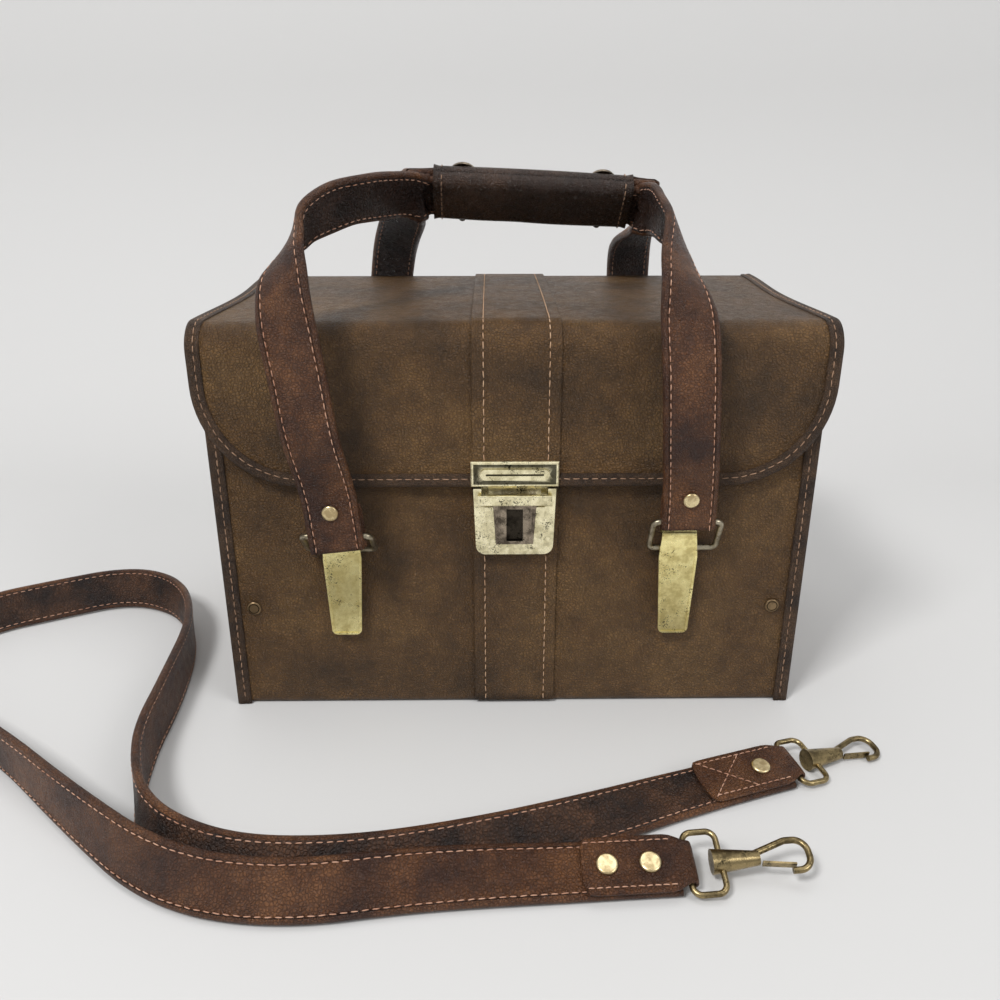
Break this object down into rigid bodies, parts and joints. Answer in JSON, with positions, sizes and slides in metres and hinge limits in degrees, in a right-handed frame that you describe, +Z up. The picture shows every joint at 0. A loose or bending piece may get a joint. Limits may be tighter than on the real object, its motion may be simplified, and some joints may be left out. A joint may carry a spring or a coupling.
{
  "type": "camera case",
  "caption": "Boxy vinyl camera case: flap lid with tuck lock, padded inside, two carrying straps joined by a grip, and a loose shoulder strap with snap hooks.",
  "frame": {"origin": "Middle of the case's footprint, on the table.", "axes": "+X to the case's right as seen from the front, -Y out of the front with the lock, +Z up."},
  "size_m": [0.5294, 0.3423, 0.278],
  "materials": {
    "vinyl": "satin",
    "strap_leather": "polished",
    "grip_leather": "satin",
    "brass": "aged",
    "steel": "aged",
    "dark_metal": "satin",
    "lining": "matte"
  },
  "bodies": {
    "case": {"body_wrap": "vinyl", "case_lining": "lining", "chape_rivets": "brass", "corner_studs": "brass", "d_ring_chape_left": "vinyl", "d_ring_chape_right": "vinyl", "divider_left": "lining", "divider_right": "lining", "end_binding_left": "vinyl", "end_binding_right": "vinyl", "end_panel_left": "vinyl", "end_panel_right": "vinyl", "floor_pad": "lining", "front_band": "vinyl", "front_hook_left": "brass", "front_hook_right": "brass", "hinge_strip": "vinyl", "hook_rivets": "brass", "lock_bar": "brass", "lock_base": "brass", "lock_rivets": "brass", "lock_spring": "steel", "rear_hook_left": "brass", "rear_hook_right": "brass"},
    "lid": {"lid_shell": "vinyl", "lid_binding": "vinyl", "lid_band": "vinyl", "lid_lining": "lining", "hasp_plate": "brass", "hasp_tongue": "steel", "hasp_rivets": "brass"},
    "front_handle": {"front_strap": "strap_leather", "front_ring_left": "steel", "front_ring_right": "steel", "front_strap_rivets": "brass", "grip_wrap_front": "grip_leather", "snap_studs": "dark_metal"},
    "rear_handle": {"rear_strap": "strap_leather", "rear_ring_left": "steel", "rear_ring_right": "steel", "rear_strap_rivets": "brass", "grip_wrap_rear": "grip_leather", "snap_caps": "dark_metal"},
    "lock_button_body": {"lock_button": "dark_metal", "lock_catch": "steel"},
    "d_ring_left_body": {"d_ring_left": "steel"},
    "d_ring_right_body": {"d_ring_right": "steel"},
    "shoulder_strap_body": {"shoulder_strap": "strap_leather", "strap_fold_a": "strap_leather", "strap_fold_b": "strap_leather", "fold_rivets_a": "brass", "fold_rivets_b": "brass"},
    "snap_a_body": {"snap_hook_a": "dark_metal", "snap_loop_a": "dark_metal"},
    "gate_a_body": {"snap_gate_a": "dark_metal"},
    "snap_b_body": {"snap_hook_b": "dark_metal", "snap_loop_b": "dark_metal"},
    "gate_b_body": {"snap_gate_b": "dark_metal"}
  },
  "joints": [
    {"name": "lid_hinge", "type": "hinge", "parent": "case", "child": "lid", "pos_m": [0, 0.082, 0.2046], "axis": [-1, 0, 0], "range_deg": [0, 90]},
    {"name": "front_handle_hinge", "type": "hinge", "parent": "case", "child": "front_handle", "pos_m": [0, -0.08365, 0.094], "axis": [1, 0, 0], "range_deg": [0, 112.5]},
    {"name": "rear_handle_hinge", "type": "hinge", "parent": "case", "child": "rear_handle", "pos_m": [0, 0.08365, 0.094], "axis": [-1, 0, 0], "range_deg": [0, 112.5]},
    {"name": "lock_button_press", "type": "slide", "parent": "case", "child": "lock_button_body", "axis": [0, 1, 0], "range_m": [0, 0.0018], "stiffness_N_per_m": 900},
    {"name": "d_ring_left_hinge", "type": "hinge", "parent": "case", "child": "d_ring_left_body", "pos_m": [-0.154, 0, 0.158], "axis": [0, 1, 0], "range_deg": [0, 150]},
    {"name": "d_ring_right_hinge", "type": "hinge", "parent": "case", "child": "d_ring_right_body", "pos_m": [0.154, 0, 0.158], "axis": [0, -1, 0], "range_deg": [0, 150]},
    {"name": "shoulder_strap_lift", "type": "slide", "parent": "case", "child": "shoulder_strap_body", "axis": [0, 0, 1], "range_m": [0, 0.3]},
    {"name": "snap_a_hinge", "type": "hinge", "parent": "shoulder_strap_body", "child": "snap_a_body", "pos_m": [0.06902, -0.21128, 0.00776], "axis": [0.0545, -0.9381, -0.342], "range_deg": [0, 60]},
    {"name": "gate_a_hinge", "type": "hinge", "parent": "snap_a_body", "child": "gate_a_body", "pos_m": [0.09997, -0.21257, 0.00894], "axis": [-0.0498, -0.3447, 0.9374], "range_deg": [0, 20], "stiffness_Nm_per_rad": 0.02},
    {"name": "snap_b_hinge", "type": "hinge", "parent": "shoulder_strap_body", "child": "snap_b_body", "pos_m": [0.13237, -0.14396, 0.00582], "axis": [0.3176, -0.9322, -0.1736], "range_deg": [0, 60]},
    {"name": "gate_b_hinge", "type": "hinge", "parent": "snap_b_body", "child": "gate_b_body", "pos_m": [0.16228, -0.13607, 0.00379], "axis": [0.1055, -0.1473, 0.9835], "range_deg": [0, 20], "stiffness_Nm_per_rad": 0.02}
  ],
  "couplings": [
    {"joint": "front_handle_hinge", "follows": "lid_hinge", "ratio": 1.25},
    {"joint": "rear_handle_hinge", "follows": "lid_hinge", "ratio": 1.25}
  ]
}
